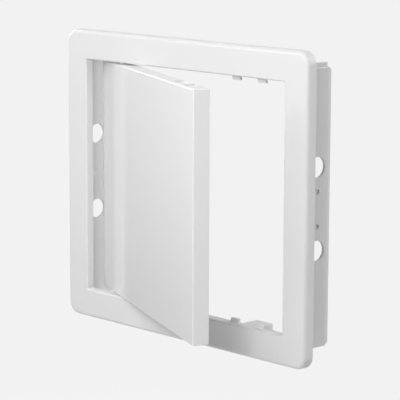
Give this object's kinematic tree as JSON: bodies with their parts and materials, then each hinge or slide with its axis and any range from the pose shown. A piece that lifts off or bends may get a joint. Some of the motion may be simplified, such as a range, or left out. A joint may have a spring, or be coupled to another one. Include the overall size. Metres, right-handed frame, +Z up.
{
  "type": "ceiling access panel",
  "caption": "Rectangular moulded access panel: a rounded border frame with a wall collar, and a shallow hinged door that opens outwards.",
  "frame": {"origin": "centre of the cut-out, at the surface of the wall or ceiling", "axes": "+X across the width, away from the hinge side; +Y into the wall or ceiling, so the front faces -Y; +Z up the height"},
  "size_m": [0.257, 0.105, 0.2266],
  "materials": {
    "frame": "white moulded plastic with a soft sheen",
    "door": "white moulded plastic, flat and glossy",
    "hinge_pin": "white moulded plastic, smooth"
  },
  "bodies": {
    "frame": {"frame": "frame"},
    "door": {"door": "door", "hinge_pin_upper": "hinge_pin", "hinge_pin_lower": "hinge_pin"}
  },
  "joints": [
    {"name": "door_hinge", "type": "hinge", "parent": "frame", "child": "door", "pos_m": [-0.0687, -0.004, 0], "axis": [0, 0, -1], "range_deg": [-24, 126]}
  ]
}
